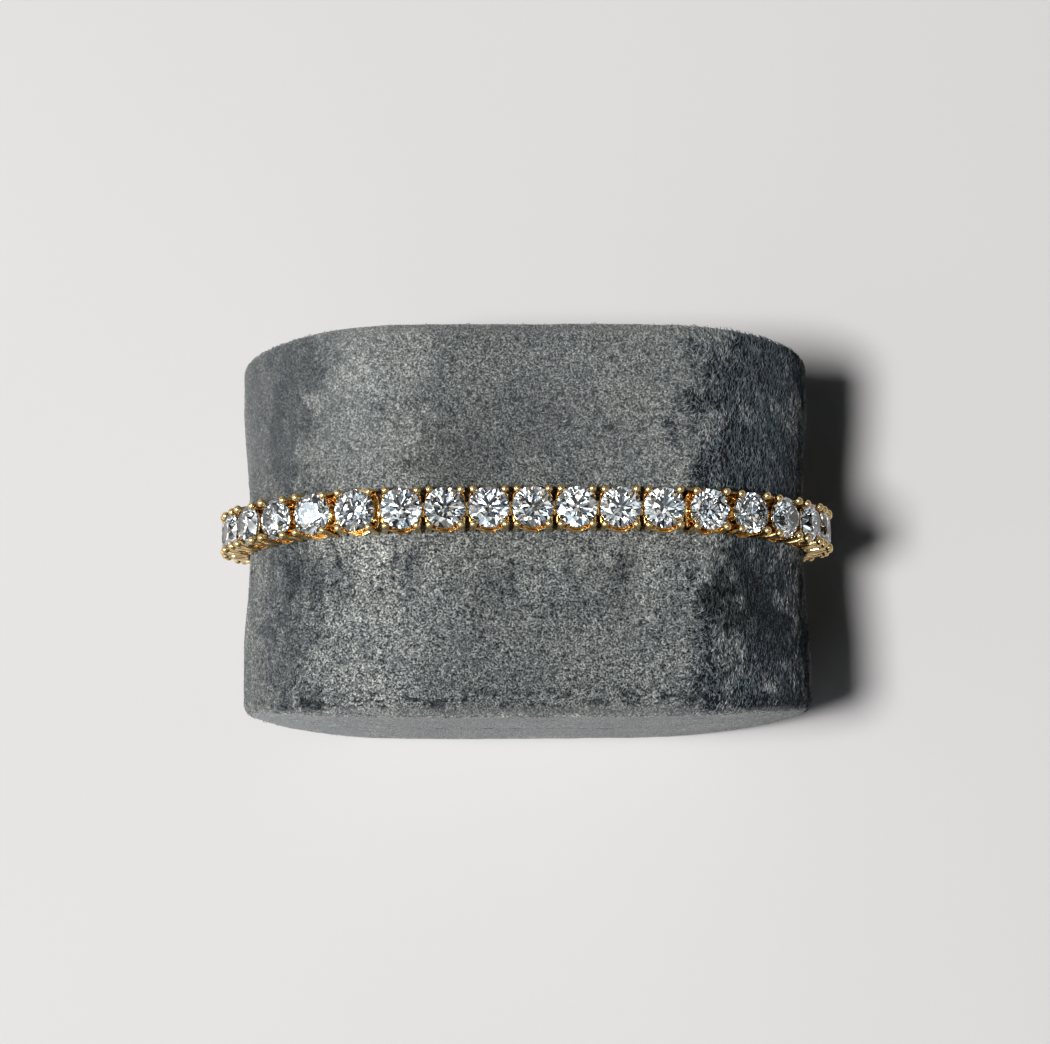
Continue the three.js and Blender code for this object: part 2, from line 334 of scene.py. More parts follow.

# Patches of the upper side, partly nap that lies another way and partly painted light and shade, most of all
# the bright and dark ones in front of the chain, painted as light thrown by its stones and as shade: place
# and radius in mm, and tone
NAP_AND_LIGHT_CORE = 0.3
NAP_AND_LIGHT_PATCHES = (
    (-10.5, 7.5, 8.0, 0.68),
    (-1.0, 12.0, 6.0, 0.86),
    (4.0, 19.0, 6.0, 1.12),
    (-22.0, 16.0, 7.0, 1.14),
    (-18.0, -8.5, 4.0, 0.9),
    (13.0, 3.5, 7.0, 1.18),
    (1.0, -7.5, 4.0, 1.2),
    (9.0, -8.0, 5.0, 0.82),
    (17.0, -7.5, 4.0, 1.25),
    (24.0, -8.5, 6.0, 0.6),
    (-12.0, -11.0, 5.0, 1.12),
    (28.0, -9.0, 7.0, 0.5),
    (29.0, -14.0, 6.5, 0.55),
)

# Tones of the cloth along a noise: place, and color
FIBRE_TONES = (
    (0.25, (0.1, 0.105, 0.107)),
    (0.5, (0.235, 0.241, 0.239)),
    (0.75, (0.42, 0.425, 0.415)),
)
# The ground between the fibres is dark, as painted shade in the gaps
GROUND_SHADE_TONES = (
    (0.3, (0.008, 0.011, 0.014)),
    (0.5, (0.075, 0.082, 0.085)),
    (0.7, (0.3, 0.306, 0.304)),
)
PATCH_TONES = (
    (0.3, (0.8, 0.82, 0.84)),
    (0.7, (1.2, 1.18, 1.16)),
)
CLUMP_TONES = (
    (0.3, (0.12, 0.14, 0.16)),
    (0.41, (0.7, 0.72, 0.74)),
    (0.5, (1.06, 1.06, 1.05)),
    (0.72, (1.35, 1.34, 1.32)),
)

# The nap's three pieces: name, and shade
NAP_SHADES = (("dark", 0.54), ("middle", 0.98), ("light", 1.5))

# Lights, with lengths in metres
KEY_LIGHT = dict(towards=(-0.365, -0.09, 0.93), distance=1.6, size=0.34, power=26.0, color=(1.0, 0.99, 0.975))
FILL_LIGHT = dict(towards=(-0.6, -0.45, 1.0), distance=1.4, size=1.2, power=1.3, color=(0.85, 0.92, 1.0))

# Panels of the world that gold and stones mirror: start along the pick, and color
PANEL_SCALE = 16.0
PANEL_LEVELS = (
    (0.0, (0.05, 0.05, 0.05)),
    (0.3, (0.2, 0.2, 0.2)),
    (0.56, (0.52, 0.52, 0.52)),
    (0.8, (1.5, 1.5, 1.5)),
)
PANEL_TINTS = (
    (0.0, (0.76, 0.9, 1.0)),
    (0.5, (1.0, 1.0, 1.0)),
    (0.88, (1.0, 0.86, 0.62)),
)

# How the panels' strength changes upwards, leftwards and over broad zones: start, end, low and high
UPWARD_STRENGTH = (0.1, 0.75, 0.35, 1.12)
LEFTWARD_STRENGTH = (-0.95, -0.25, 6.0, 1.0)
ZONE_STRENGTH = (0.4, 0.62, 0.15, 2.0)


def smoothstep(value):
    t = np.clip(value, 0.0, 1.0)
    return t * t * (3.0 - 2.0 * t)


# Meshes are kept as pairs of (points, faces) until they are placed


def joined(parts):
    points, faces, start = [], [], 0
    for part_points, part_faces in parts:
        points.append(np.asarray(part_points, float))
        faces.extend([tuple(index + start for index in face) for face in part_faces])
        start += len(part_points)
    return np.vstack(points), faces


def moved(part, matrix):
    points, faces = part
    turned = points @ np.array(matrix.to_3x3()).T + np.array(matrix.translation)
    return turned, faces


def place_mesh(name, part, material, smooth=True, scale=1.0):
    """A part as an object that rides on the root body."""
    points, faces = part
    mesh = bpy.data.meshes.new(name)
    mesh.from_pydata((np.asarray(points) * scale).tolist(), [], faces)
    mesh.polygons.foreach_set("use_smooth", [smooth] * len(mesh.polygons))
    mesh.update()
    mesh.materials.append(material)
    piece = bpy.data.objects.new(name, mesh)
    bpy.context.scene.collection.objects.link(piece)
    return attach(piece, "root")


def rows_to_faces(rows, columns, closed_rows=False):
    """Quads over a grid of points that is closed along its columns."""
    faces = []
    for row in range(rows if closed_rows else rows - 1):
        after = (row + 1) % rows
        for column in range(columns):
            beside = (column + 1) % columns
            faces.append((
                row * columns + column,
                row * columns + beside,
                after * columns + beside,
                after * columns + column,
            ))
    return faces


def closed_tube(rows, columns):
    """The faces of rows of points that are closed at both ends."""
    faces = rows_to_faces(rows, columns)
    last = (rows - 1) * columns
    faces.append(tuple(reversed(range(columns))))
    faces.append(tuple(range(last, last + columns)))
    return faces


def swept(path, radii, squareness, sides, side_axis):
    """A bar along a path, closed at both ends. The side axis is across the path."""
    path = np.asarray(path, float)
    angles = np.arange(sides) * 2 * math.pi / sides
    rows = []
    for index, (point, radius, power) in enumerate(zip(path, radii, squareness)):
        before = path[max(index - 1, 0)]
        after = path[min(index + 1, len(path) - 1)]
        ahead = (after - before) / np.linalg.norm(after - before)
        across = side_axis - ahead * np.dot(side_axis, ahead)
        across /= np.linalg.norm(across)
        up = np.cross(ahead, across)
        reach = radius * (np.abs(np.cos(angles)) ** power + np.abs(np.sin(angles)) ** power) ** (-1 / power)
        rows.append(point + np.outer(reach * np.cos(angles), across) + np.outer(reach * np.sin(angles), up))
    return np.vstack(rows), closed_tube(len(path), sides)


# Stones


def ring(count, radius, height, offset=0.0):
    angles = (np.arange(count) + offset) * 2 * math.pi / count
    return [(radius * math.cos(a), radius * math.sin(a), height) for a in angles]


def brilliant(diameter):
    """Table, stars, kites, upper and lower halves, girdle and mains, with the culet at z = 0."""
    radius = diameter / 2
    n = MAIN_FACETS
    girdle_low = PAVILION_SHARE * diameter
    girdle_high = girdle_low + GIRDLE_SHARE * diameter
    table_height = girdle_high + CROWN_SHARE * diameter
    table_radius = TABLE_SHARE * radius
    half_step = math.cos(math.pi / n)
    crown_slope = (table_height - girdle_high) / (radius - table_radius)
    star_radius = STAR_RADIUS_SHARE * diameter
    star_height = girdle_high + (radius - star_radius * half_step) * crown_slope
    lower_radius = LOWER_HALF_SHARE * diameter
    lower_height = lower_radius * half_step * girdle_low / radius
    points = np.array([
        *ring(n, table_radius, table_height),
        *ring(n, star_radius, star_height, 0.5),
        *ring(2 * n, radius, girdle_high),
        *ring(2 * n, radius, girdle_low),
        *ring(n, lower_radius, lower_height, 0.5),
        (0.0, 0.0, 0.0),
    ])
    table, star, high, low, lower, culet = 0, n, 2 * n, 4 * n, 6 * n, 7 * n
    faces = [tuple(range(n))]
    for k in range(n):
        after, before = (k + 1) % n, (k - 1) % n
        main, middle, onward = 2 * k, 2 * k + 1, (2 * k + 2) % (2 * n)
        faces.append((table + k, star + k, table + after))
        faces.append((table + k, star + before, high + main, star + k))
        faces.append((star + k, high + main, high + middle))
        faces.append((star + k, high + middle, high + onward))
        faces.append((high + main, low + main, low + middle, high + middle))
        faces.append((high + middle, low + middle, low + onward, high + onward))
        faces.append((low + main, lower + k, low + middle))
        faces.append((low + middle, lower + k, low + onward))
        faces.append((low + main, lower + before, culet, lower + k))
    return points, faces


def stone_frame(mesh):
    """Where a stone sits: origin at its culet, +z out through its table, +y along the loop's axis."""
    points = np.unique(np.round([vertex.co for vertex in mesh.vertices], CORNER_DECIMALS), axis=0)
    centre = points.mean(axis=0)
    out = np.linalg.svd(points - centre)[2][2]
    heights = (points - centre) @ out
    if heights.max() > -heights.min():
        out, heights = -out, -heights
    along = Vector((0, 1, 0)).cross(Vector(out)).normalized()
    rotation = Matrix((along, (0, 1, 0), out)).transposed().to_4x4()
    return Matrix.Translation(points[heights.argmin()]) @ rotation


# Settings


def prong(along, across):
    """A squarish post that leans in, narrows where the girdle sits, and ends in a round bead."""
    bead_middle = BEAD_TOP - BEAD_RADIUS
    rows = list(POST_ROWS)
    for step in range(BEAD_STEPS):
        turn = math.radians(BEAD_FIRST_DEGREES + step * BEAD_STEP_DEGREES)
        rows.append((bead_middle + BEAD_RADIUS * math.sin(turn), BEAD_RADIUS * math.cos(turn), ROUND))
    heights, radii, squareness = zip(*rows)
    path = []
    for height in heights:
        lean = smoothstep((height - BASE_HEIGHT) / (bead_middle - BASE_HEIGHT))
        x = FOOT_ALONG + (BEAD_ALONG - FOOT_ALONG) * lean
        y = FOOT_ACROSS + (BEAD_ACROSS - FOOT_ACROSS) * lean
        path.append((along * x, across * y, height))
    return swept(path, radii, squareness, PRONG_SIDES, X_AXIS)


def squared_ring(half_x, half_y, squareness):
    """Points of a ring between an ellipse and a rectangle."""
    angles = np.arange(RING_SIDES) * 2 * math.pi / RING_SIDES
    share = np.abs(np.cos(angles) / half_x) ** squareness
    share += np.abs(np.sin(angles) / half_y) ** squareness
    reach = share ** (-1 / squareness)
    return np.stack([reach * np.cos(angles), reach * np.sin(angles)], axis=1)


def ring_body(rows, squareness):
    """A closed ring from rows of (height, half size along, half size across) that go round its section."""
    points = []
    for height, half_x, half_y in rows:
        flat = squared_ring(half_x, half_y, squareness)
        points.append(np.column_stack([flat, np.full(RING_SIDES, height)]))
    return np.vstack(points), rows_to_faces(len(rows), RING_SIDES, closed_rows=True)


def band_rows(half_x, half_y, wall, low, high, bevel):
    """The section of a plain band with bevelled edges."""
    return [
        (low, half_x - bevel, half_y - bevel),
        (low + bevel, half_x, half_y),
        (high - bevel, half_x, half_y),
        (high, half_x - bevel, half_y - bevel),
        (high, half_x - wall + bevel, half_y - wall + bevel),
        (high - bevel, half_x - wall, half_y - wall),
        (low + bevel, half_x - wall, half_y - wall),
        (low, half_x - wall + bevel, half_y - wall + bevel),
    ]


def bar_along_x(start, end, width, low, height, bevel):
    """A bevelled bar along the chain."""
    half = width / 2
    section = [
        (-half + bevel, low),
        (half - bevel, low),
        (half, low + bevel),
        (half, low + height - bevel),
        (half - bevel, low + height),
        (-half + bevel, low + height),
        (-half, low + height - bevel),
        (-half, low + bevel),
    ]
    points = [(x, y, z) for x in (start, end) for y, z in section]
    return np.array(points, float), closed_tube(2, len(section))


def gusset(along, across):
    """The web that joins a post to the cup."""
    angle = math.atan2(across * FOOT_ACROSS, along * FOOT_ALONG)
    return moved(bar_along_x(**GUSSET_BAR), Matrix.Rotation(angle, 4, "Z"))


def barrel():
    """The hinge barrel between two links, with rounded ends."""
    rows = [(-BARREL_LENGTH / 2 + inset, share) for inset, share in BARREL_END_ROWS]
    rows += [(-y, share) for y, share in reversed(rows)]
    path = [(PITCH / 2, y, BARREL_HEIGHT) for y, _ in rows]
    radii = [BARREL_RADIUS * share for _, share in rows]
    return swept(path, radii, [ROUND] * len(rows), BARREL_SIDES, Z_AXIS)


def tongue(direction):
    """The flat bar that reaches out to a hinge barrel or an eye."""
    low = JOINT_HEIGHT - TONGUE_THICKNESS / 2
    bar = bar_along_x(TONGUE_START, TONGUE_END, TONGUE_WIDTH, low, TONGUE_THICKNESS, TONGUE_BEVEL)
    return moved(bar, Matrix.Rotation(0 if direction > 0 else math.pi, 4, "Z"))


def eye(direction):
    """The round end of a tongue, which a pin of the clasp goes through."""
    half = TONGUE_WIDTH / 2
    loop = ring_body(band_rows(EYE_RADIUS, EYE_RADIUS, EYE_WALL, -half, half, EYE_BEVEL), ROUND)
    place = Matrix.Translation((direction * EYE_DISTANCE, 0, JOINT_HEIGHT))
    return moved(loop, place @ Matrix.Rotation(math.pi / 2, 4, "X"))


def setting(is_first, is_last):
    """One link: a cup on a square frame, four prongs, and the joint to the next link or the clasp."""
    parts = [ring_body(CUP_ROWS, ROUND), ring_body(band_rows(**FRAME_BAND), FRAME_SQUARENESS)]
    for along in (-1, 1):
        for across in (-1, 1):
            parts += [prong(along, across), gusset(along, across)]
    parts.append(tongue(1))
    parts.append(eye(1) if is_last else barrel())
    if is_first:
        parts += [tongue(-1), eye(-1)]
    return joined(parts)


# Cushion


class Noise:
    """Smooth, repeatable value noise over three axes, from -1 to 1."""

    def __init__(self, seed, cells=32):
        self.values = np.random.default_rng(seed).random((cells, cells, cells)) * 2 - 1
        self.cells = cells

    def at(self, points, size):
        scaled = np.asarray(points) / size
        low = np.floor(scaled).astype(int)
        share = smoothstep(scaled - low)
        total = np.zeros(len(scaled))
        for corner in np.ndindex(2, 2, 2):
            weight = np.ones(len(scaled))
            for axis in range(3):
                weight *= share[:, axis] if corner[axis] else 1 - share[:, axis]
            index = (low + np.array(corner)) % self.cells
            total += weight * self.values[index[:, 0], index[:, 1], index[:, 2]]
        return total


def stadium_columns(height):
    """Columns round a stadium section: x of the flat runs, and the way the round sides face in x and z."""
    straight = 2 * FLAT_HALF
    arc = math.pi * height / 2
    around = 2 * (straight + arc)
    columns = []
    for turn in np.linspace(0, 1, CUSHION_COLUMNS, endpoint=False):
        distance = turn * around
        sign = 1
        if distance >= straight + arc:
            distance -= straight + arc
            sign = -1
        if distance < straight:
            columns.append((sign * (distance - FLAT_HALF), 0, sign))
        else:
            angle = (distance - straight) / arc * math.pi
            columns.append((sign * FLAT_HALF, sign * math.sin(angle), sign * math.cos(angle)))
    return np.array(columns, float).T


def end_rings(edge):
    """Rings that shrink from an end face's edge towards the line along its middle."""
    spine = edge.copy()
    spine[:, 0] = np.clip(edge[:, 0], -FLAT_HALF, FLAT_HALF)
    spine[:, 2] = (edge[:, 2].max() + edge[:, 2].min()) / 2
    shares = 1 - np.arange(1, FACE_RINGS + 1) / (FACE_RINGS + 1)
    return [spine + (edge - spine) * share for share in shares]


def cushion_skin(box_low, box_high, band_y, band_bottom):
    """The cushion: a stadium section pinched where the chain goes round it, between bowed end faces."""
    half_width = (box_high.x - box_low.x) / 2 / MM
    height = box_high.z / MM
    length = (box_high.y - box_low.y) / 2 / MM
    round_radius = half_width - FLAT_HALF
    rim_end = length - END_BOW
    flat_x, side_x, side_z = stadium_columns(height)

    def section(y, inset):
        away = abs(y - band_y) - BAND_HALF
        swell = PINCH_DEPTH * smoothstep(away / DENT_REACH)
        top = height - PINCH_DEPTH + swell
        bottom = band_bottom * (1 - smoothstep(away / GROOVE_REACH))
        across = round_radius - PINCH_DEPTH + swell - inset
        up = (top - bottom) / 2 - inset
        x = flat_x + across * side_x
        z = (top + bottom) / 2 + up * side_z
        return np.column_stack([x, np.full(CUSHION_COLUMNS, y), z])

    rim = []
    for step in range(RIM_STEPS):
        angle = step / RIM_STEPS * math.pi / 2
        rim.append((-rim_end + RIM_RADIUS * (1 - math.cos(angle)), RIM_RADIUS * (1 - math.sin(angle))))
    inner = np.linspace(-rim_end + RIM_RADIUS, rim_end - RIM_RADIUS, CUSHION_ROWS)
    rows = rim + [(y, 0.0) for y in inner] + [(-y, inset) for y, inset in reversed(rim)]
    body = [section(y, inset) for y, inset in rows]
    grid = end_rings(body[0])[::-1] + body + end_rings(body[-1])
    points = np.vstack(grid)

    away = points[:, 1] - band_y
    fade = smoothstep((np.abs(away) - BAND_HALF) / (rim_end - RIM_RADIUS - BAND_HALF))
    share_x = np.abs(points[:, 0]) / (half_width - SIDE_INSET)
    bow = END_BOW * (1 - share_x ** END_SQUARENESS)
    points[:, 1] += np.sign(away) * bow * fade - CHAIN_SAG * share_x ** 2 * (1 - fade)
    return points, closed_tube(len(grid), CUSHION_COLUMNS)


def quad_corners(points, faces):
    """The quads among some faces, their four corners, and a vector along each one's normal."""
    quads = np.array([face for face in faces if len(face) == 4])
    a, b, c, d = (points[quads[:, k]] for k in range(4))
    return quads, (a, b, c, d), np.cross(c - a, d - b)


def vertex_normals(points, faces):
    quads, _, facing = quad_corners(points, faces)
    normals = np.zeros_like(points)
    for k in range(4):
        np.add.at(normals, quads[:, k], facing)
    lengths = np.linalg.norm(normals, axis=1, keepdims=True)
    return normals / np.maximum(lengths, TINY)


def pressed_in(points, normals):
    """The cloth's own relief, from patches of brushing down to its grain, pressed inwards only."""
    amount = np.zeros(len(points))
    for seed, size, depth, scale_y in RELIEF_LAYERS:
        scaled = points * np.array([1.0, scale_y, 1.0])
        amount += depth * (Noise(seed).at(scaled, size) - 1) / 2
    return points + normals * amount[:, None]


def nap_density(middles, normals, band_y):
    """Full on the upper side, thinner underneath and towards the ends, none on them or below the chain."""
    share = HIDDEN_SHARE + (1 - HIDDEN_SHARE) * smoothstep((normals[:, 2] - HIDDEN_NORMAL) / HIDDEN_FADE)
    share *= 1 - smoothstep((np.abs(normals[:, 1]) - NAP_THINS) / (NAP_ENDS - NAP_THINS))
    share[middles[:, 2] < UNDERSIDE_HEIGHT] = 0
    return share * (np.abs(middles[:, 1] - band_y) > CHAIN_CLEARANCE)


def fibre_roots(skin, faces, band_y, chance):
    """Places on the cushion's skin, and the way out of it at each."""
    quads, (a, b, c, d), facing = quad_corners(skin, faces)
    area = np.maximum(np.linalg.norm(facing, axis=1), TINY)
    normals = facing / area[:, None]
    weight = area * nap_density((a + b + c + d) / 4, normals, band_y)
    picked = chance.choice(len(quads), FIBRES_PER_PIECE, p=weight / weight.sum())
    u, v = chance.random((2, FIBRES_PER_PIECE, 1))
    a, b, c, d = (corner[picked] for corner in (a, b, c, d))
    roots = (a * (1 - u) + b * u) * (1 - v) + (d * (1 - u) + c * u) * v
    return roots, normals[picked]


def nap_fibres(skin, faces, band_y, chance):
    """Short bent fibres, three-sided and pointed, with their roots in the cushion's skin."""
    roots, up = fibre_roots(skin, faces, band_y, chance)
    lengthwise = np.where(np.abs(up[:, 1:2]) > END_FACING, (1.0, 0.0, 0.0), (0.0, 1.0, 0.0))
    lengthwise = lengthwise - up * np.sum(lengthwise * up, axis=1, keepdims=True)
    lengthwise /= np.linalg.norm(lengthwise, axis=1, keepdims=True)
    sideways = np.cross(up, lengthwise)

    size = (len(roots), 1)
    combed = smoothstep((roots[:, :1] - STRAND_START) / (STRAND_FULL - STRAND_START))
    loose_angle = chance.uniform(-math.pi, math.pi, size)
    combed_angle = chance.normal(0, STRAND_SPREAD, size)
    angle = loose_angle * (1 - combed) + combed_angle * combed
    ahead = lengthwise * np.cos(angle) + sideways * np.sin(angle)
    across = np.cross(up, ahead)

    length = chance.uniform(*FIBRE_LENGTH_RANGE, size) * (1 + STRAND_LENGTHENS * combed)
    bend = chance.normal(0, FIBRE_BEND_SPREAD, size) * length
    lift = chance.uniform(*FIBRE_LIFT_RANGE, size)
    tip_lift = chance.uniform(*FIBRE_TIP_RANGE, size) * (1 - STRAND_FLATTENS * combed)
    start = roots - up * FIBRE_ROOT_DEPTH
    middle = roots + ahead * length / 2 + across * bend + up * lift
    tip = roots + ahead * length + up * tip_lift

    offsets = []
    for degrees in FIBRE_CORNER_DEGREES:
        turn = math.radians(degrees)
        offsets.append(FIBRE_RADIUS * (across * math.cos(turn) + up * math.sin(turn)))
    corners = [end + offset for end in (start, middle) for offset in offsets]
    points = np.stack([*corners, tip], axis=1)
    stride = points.shape[1]
    fibre_faces = []
    for first in range(0, stride * len(roots), stride):
        fibre_faces.extend([tuple(index + first for index in face) for face in FIBRE_FACES])
    return points.reshape(-1, 3), fibre_faces


# Materials


class Nodes:
    """Short ways to add and join the shader nodes of a material or a world."""

    # A mix node has its share and colors at these places, because its sockets share their names
    MIX_INPUTS = (0, 6, 7)
    MIX_OUTPUT = 2

    def __init__(self, owner, shader):
        owner.use_nodes = True
        self.owner = owner
        self.tree = owner.node_tree
        self.shader = self.tree.nodes[shader]
        self.place = self.tree.nodes.new("ShaderNodeTexCoord").outputs

    def put(self, value, socket):
        """Joins another node's output to a socket, or sets the socket to a plain value."""
        if isinstance(value, bpy.types.NodeSocket):
            self.tree.links.new(value, socket)
        else:
            socket.default_value = value

    def set(self, node, **values):
        """Sets a node's inputs and options by name. An input's name has underscores for its spaces."""
        for key, value in values.items():
            label = key.replace("_", " ")
            if label in node.inputs:
                self.put(value, node.inputs[label])
            else:
                setattr(node, key, value)
        return node

    def add(self, kind, **values):
        return self.set(self.tree.nodes.new(kind), **values)

    def noise(self, name, place="Object"):
        scale, detail, scale_y, roughness = NOISES[name]
        mapping = self.add("ShaderNodeMapping", Vector=self.place[place], Scale=(1.0, scale_y, 1.0))
        texture = self.add("ShaderNodeTexNoise", Scale=scale, Detail=detail, Roughness=roughness)
        self.put(mapping.outputs["Vector"], texture.inputs["Vector"])
        return texture.outputs["Fac"]

    def axes(self, vector):
        return self.add("ShaderNodeSeparateXYZ", Vector=vector).outputs

    def spread(self, value, start, end, low, high, interpolation_type="LINEAR"):
        """A change from low to high as a value goes from start to end."""
        node = self.add("ShaderNodeMapRange", interpolation_type=interpolation_type)
        self.set(node, Value=value, From_Min=start, From_Max=end, To_Min=low, To_Max=high)
        return node.outputs["Result"]

    def math(self, operation, *terms):
        node = self.add("ShaderNodeMath", operation=operation)
        for term, socket in zip(terms, node.inputs):
            self.put(term, socket)
        return node.outputs["Value"]

    def ramp(self, value, stops, stepped=False):
        """Colors along a value, from stops of (place, color)."""
        node = self.add("ShaderNodeValToRGB", Fac=value)
        if stepped:
            node.color_ramp.interpolation = "CONSTANT"
        elements = node.color_ramp.elements
        while len(elements) < len(stops):
            elements.new(0.5)
        for element, (place, color) in zip(elements, stops):
            element.position = place
            element.color = (*color, 1.0)
        return node.outputs["Color"]

    def mix(self, kind, share, first, second):
        node = self.add("ShaderNodeMix", data_type="RGBA", blend_type=kind)
        for index, value in zip(self.MIX_INPUTS, (share, first, second)):
            self.put(value, node.inputs[index])
        return node.outputs[self.MIX_OUTPUT]

    def times(self, first, second):
        return self.mix("MULTIPLY", 1.0, first, second)


def new_material(name):
    return Nodes(bpy.data.materials.new(name), "Principled BSDF")


def gold_material():
    made = new_material("polished_gold")
    cloud = made.noise("gold_cloud")
    scratches = made.add("ShaderNodeBump", Height=made.noise("gold_scratches"), **GOLD_SCRATCHES)
    made.set(
        made.shader,
        Base_Color=made.ramp(cloud, GOLD_TONES),
        Roughness=made.spread(cloud, 0.0, 1.0, *GOLD_ROUGHNESS),
        Normal=scratches.outputs["Normal"],
        Metallic=1.0,
    )
    return made.owner


def stone_material():
    made = new_material("clear_stone")
    made.set(made.shader, Base_Color=made.ramp(made.noise("stone_cloud"), STONE_TONES), **STONE_FINISH)
    return made.owner


def floor_material():
    made = new_material("pale_floor")
    made.set(made.shader, Base_Color=made.ramp(made.noise("floor_cloud"), FLOOR_TONES), **FLOOR_FINISH)
    return made.owner


class Suede(Nodes):
    """The cushion's cloth. Each method makes one layer, and most layers are tones to multiply by."""

    def __init__(self, name, grain, tones, calm_tone, combed_tone):
        super().__init__(bpy.data.materials.new(name), "Principled BSDF")
        self.grain = self.noise(grain)
        self.tones = tones
        self.calm_tone = calm_tone
        self.combed_tone = combed_tone
        self.x, self.y, _ = self.axes(self.place["Object"])
        wander = self.spread(self.noise("wander"), 0.0, 1.0, -WANDER * MM, WANDER * MM)
        growth = self.window(self.x, WANDER_LIMITS, *WANDER_GROWTH)
        self.wandering_x = self.math("MULTIPLY_ADD", wander, growth, self.x)
        self.patches = self.patch_tones()

    def window(self, value, limits, low, high, interpolation_type="LINEAR"):
        """A change from low to high as a place goes from one limit to the other, in mm."""
        start, end = limits
        return self.spread(value, start * MM, end * MM, low, high, interpolation_type)

    def patch_tones(self):
        """Broad patches, scaled up by as much as the painted light and shade across are scaled down."""
        stops = [(place, [value * TONE_SCALE for value in tone]) for place, tone in PATCH_TONES]
        return self.ramp(self.noise("patches"), stops)

    def light_and_shade_across(self):
        """The painted light and shade from left to right, over the nap's own tone, scaled down because a
        color ramp ends at 1.
        """
        stops = []
        for x, tone in NAP_LIGHT_AND_SHADE:
            place = (x + NAP_SPAN) / (2 * NAP_SPAN)
            stops.append((place, [value / TONE_SCALE for value in tone]))
        return self.ramp(self.window(self.wandering_x, (-NAP_SPAN, NAP_SPAN), 0.0, 1.0), stops)

    def clumped(self):
        """The cloth's grain, in clumps."""
        clumps = self.ramp(self.noise("clumps"), CLUMP_TONES)
        return self.times(self.ramp(self.grain, self.tones), clumps)

    def combed(self):
        """The combed side."""
        return self.window(self.wandering_x, COMBED, 1.0, self.combed_tone)

    def seam(self):
        """Painted shade in the creases along the seam at the front rim."""
        inner = self.window(self.y, CREASE_SHADE_INNER, 1.0, 0.0)
        outer = self.window(self.y, CREASE_SHADE_OUTER, 0.0, 1.0)
        crease_shade = self.ramp(self.noise("crease_shade"), CREASE_SHADE_TONES)
        darker = self.mix("MIX", self.math("MULTIPLY", inner, outer), BLACK, crease_shade)
        return self.add("ShaderNodeInvert", Color=darker).outputs["Color"]

    def strokes(self):
        """Streaks of painted light and painted shade in front of the chain."""
        front = self.window(self.y, STONE_LIGHT_FRONT, 0.0, 1.0)
        behind = self.window(self.y, STONE_LIGHT_BEHIND, 1.0, 0.0)
        tones = self.ramp(self.noise("strokes"), STONE_LIGHT_TONES)
        return self.mix("MIX", self.math("MULTIPLY", front, behind), WHITE, tones)

    def nap_and_light_patches(self):
        """Patches of nap that lies another way, and of painted light and shade."""
        place = self.add("ShaderNodeCombineXYZ", X=self.wandering_x, Y=self.y).outputs["Vector"]
        nap_and_light_patches = WHITE
        for x, y, radius, tone in NAP_AND_LIGHT_PATCHES:
            distance = self.add("ShaderNodeVectorMath", operation="DISTANCE")
            self.put(place, distance.inputs[0])
            self.put((x * MM, y * MM, 0.0), distance.inputs[1])
            limits = (radius, NAP_AND_LIGHT_CORE * radius)
            patch = self.window(distance.outputs["Value"], limits, 1.0, tone, "SMOOTHSTEP")
            nap_and_light_patches = self.times(nap_and_light_patches, patch)
        return nap_and_light_patches

    def calmness(self):
        """How smooth the nap lies, as a share."""
        left = self.window(self.wandering_x, CALM_LEFT, CALM_SHARE, 0.0)
        right = self.window(self.wandering_x, CALM_RIGHT, 0.0, CALM_SHARE)
        rims = self.window(self.math("ABSOLUTE", self.y), RIM_CALM, 0.0, RIM_CALM_SHARE)
        is_behind = self.window(self.y, BEHIND_CALM, 0.0, 1.0)
        shares = (BEHIND_CALM_LEFT_SHARE, BEHIND_CALM_SHARE)
        behind = self.math("MULTIPLY", is_behind, self.window(self.wandering_x, BEHIND_CALM_LEFT, *shares))
        total = left
        for share in (right, rims, behind):
            total = self.math("ADD", total, share)
        return total

    def layered(self, surface):
        """A surface under all the tones of the cloth, painted light and shade among them."""
        layers = (
            # nap patches, partly painted light and shade
            self.nap_and_light_patches(),
            # painted light and shade in streaks in front of the chain
            self.strokes(),
            # painted light and shade across the cushion
            self.light_and_shade_across(),
            self.patches,
            self.combed(),
            # painted shade along the seam
            self.seam(),
        )
        for layer in layers:
            surface = self.times(surface, layer)
        return surface

    def finish(self, color):
        self.set(self.shader, Base_Color=color, **SUEDE_FINISH)
        return self.owner


def fibre_material(name, shade):
    """The nap's fibres, in one of their shades. Smooth nap shows less of the shade."""
    cloth = Suede(name, "fibre_grain", FIBRE_TONES, FIBRE_CALM, COMBED_FIBRE_TONE)
    calmness = cloth.calmness()
    surface = cloth.mix("MIX", calmness, cloth.clumped(), cloth.calm_tone)
    shaded = cloth.times(surface, cloth.spread(calmness, 0.0, 1.0, shade, 1.0))
    return cloth.finish(cloth.layered(shaded))


def ground_material(name):
    """The cloth between the fibres, dark as painted shade in the gaps, and the plain end faces, lighter by
    painted light.
    """
    cloth = Suede(name, "ground_grain", GROUND_SHADE_TONES, GROUND_CALM, COMBED_GROUND_TONE)
    clumped = cloth.clumped()
    surface = cloth.mix("MIX", cloth.calmness(), clumped, cloth.calm_tone)
    sides = cloth.layered(surface)
    end_grain = cloth.mix("MIX", END_CALM_SHARE, clumped, cloth.calm_tone)
    # the end faces, made lighter by painted light
    ends = cloth.times(cloth.times(end_grain, cloth.patches), END_FACE_LIGHT)
    endwise = cloth.math("ABSOLUTE", cloth.axes(cloth.place["Normal"])["Y"])
    end_share = cloth.spread(endwise, *END_NORMALS, 0.0, 1.0)
    bump = cloth.add("ShaderNodeBump", Height=cloth.grain, **GROUND_BUMP)
    cloth.set(cloth.shader, Normal=bump.outputs["Normal"])
    return cloth.finish(cloth.mix("MIX", end_share, sides, ends))


# Studio


